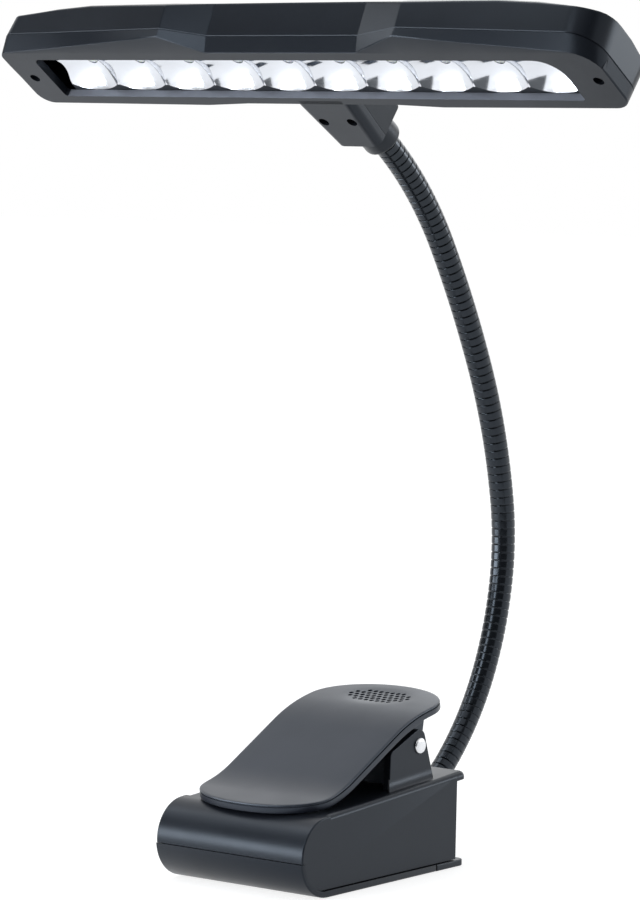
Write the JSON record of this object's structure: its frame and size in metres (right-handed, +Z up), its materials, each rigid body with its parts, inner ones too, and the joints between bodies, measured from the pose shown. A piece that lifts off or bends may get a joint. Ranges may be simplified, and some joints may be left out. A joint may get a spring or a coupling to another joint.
{
  "type": "music stand light",
  "caption": "Clip-on battery lamp for a music stand: a sprung clip on a wedge-shaped battery base, a ribbed gooseneck and a long bar head with a row of reflector cups.",
  "frame": {"origin": "the middle of the base's underside", "axes": "+Z up, +Y from the round nose to the rear, where the gooseneck leaves, +X along the head to the right as seen from the nose"},
  "size_m": [0.2478, 0.1497, 0.2838],
  "materials": {
    "case_plastic": "fine satin moulded black",
    "cover_plastic": "fine satin moulded black",
    "inner_plastic": "plain moulded",
    "knob_plastic": "ridged moulded",
    "collar_plastic": "satin",
    "neck_metal": "satin black",
    "pin_steel": "bright rolled head",
    "spring_steel": "drawn wire",
    "screw_steel": "zinc plated",
    "contact_steel": "nickel plated",
    "cell": "plain sleeve",
    "board": "solder mask",
    "pad_rubber": "matt",
    "lead": "round sleeve",
    "reflector": "metallised",
    "led": "clear dome"
  },
  "bodies": {
    "base": {"base_housing": "case_plastic", "base_floor": "case_plastic", "floor_screws": "screw_steel", "battery_tray": "inner_plastic", "battery_1": "cell", "battery_2": "cell", "battery_3": "cell", "contact_springs": "contact_steel", "contact_plates": "contact_steel", "switch_body": "inner_plastic", "driver_board": "board", "neck_socket": "inner_plastic", "hinge_pin": "pin_steel", "torsion_spring": "spring_steel", "lamp_lead": "lead", "gooseneck_1": "neck_metal"},
    "lever": {"clip_lever": "case_plastic", "jaw_pad": "pad_rubber"},
    "door": {"battery_door": "case_plastic"},
    "knob": {"switch_knob": "knob_plastic"},
    "neck_2": {"gooseneck_2": "neck_metal"},
    "neck_3": {"gooseneck_3": "neck_metal"},
    "neck_4": {"gooseneck_4": "neck_metal"},
    "neck_5": {"gooseneck_5": "neck_metal"},
    "head": {"gooseneck_6": "neck_metal", "neck_collar": "collar_plastic", "neck_screws": "screw_steel", "head_bezel": "case_plastic", "head_cover": "cover_plastic", "head_screws": "screw_steel", "reflector_strip": "reflector", "led_board": "board", "leds": "led"}
  },
  "joints": [
    {"name": "clip_hinge", "type": "hinge", "parent": "base", "child": "lever", "pos_m": [0, 0.024, 0.0418], "axis": [-1, 0, 0], "range_deg": [0, 30], "stiffness_Nm_per_rad": 0.8, "springref_deg": -34.38, "deforming": ["torsion_spring"]},
    {"name": "door_slide", "type": "slide", "parent": "base", "child": "door", "axis": [0, -1, 0], "range_m": [0, 0.075]},
    {"name": "switch_slide", "type": "slide", "parent": "base", "child": "knob", "axis": [0, 1, 0], "range_m": [0, 0.008]},
    {"name": "neck_bend_1", "type": "hinge", "parent": "base", "child": "neck_2", "pos_m": [0, 0.0713, 0.02779], "axis": [1, 0, 0], "range_deg": [-25, 25], "deforming": ["lamp_lead"]},
    {"name": "neck_bend_2", "type": "hinge", "parent": "neck_2", "child": "neck_3", "pos_m": [0, 0.09719, 0.06782], "axis": [0, -0.9311, 0.3649], "range_deg": [-20, 20], "deforming": ["lamp_lead"]},
    {"name": "neck_bend_3", "type": "hinge", "parent": "neck_3", "child": "neck_4", "pos_m": [0, 0.10269, 0.11497], "axis": [1, 0, 0], "range_deg": [-25, 25], "deforming": ["lamp_lead"]},
    {"name": "neck_bend_4", "type": "hinge", "parent": "neck_4", "child": "neck_5", "pos_m": [0, 0.09006, 0.16115], "axis": [0, -0.9239, -0.3827], "range_deg": [-20, 20], "deforming": ["lamp_lead"]},
    {"name": "neck_bend_5", "type": "hinge", "parent": "neck_5", "child": "head", "pos_m": [0, 0.0687, 0.20409], "axis": [1, 0, 0], "range_deg": [-25, 25], "deforming": ["lamp_lead"]}
  ]
}
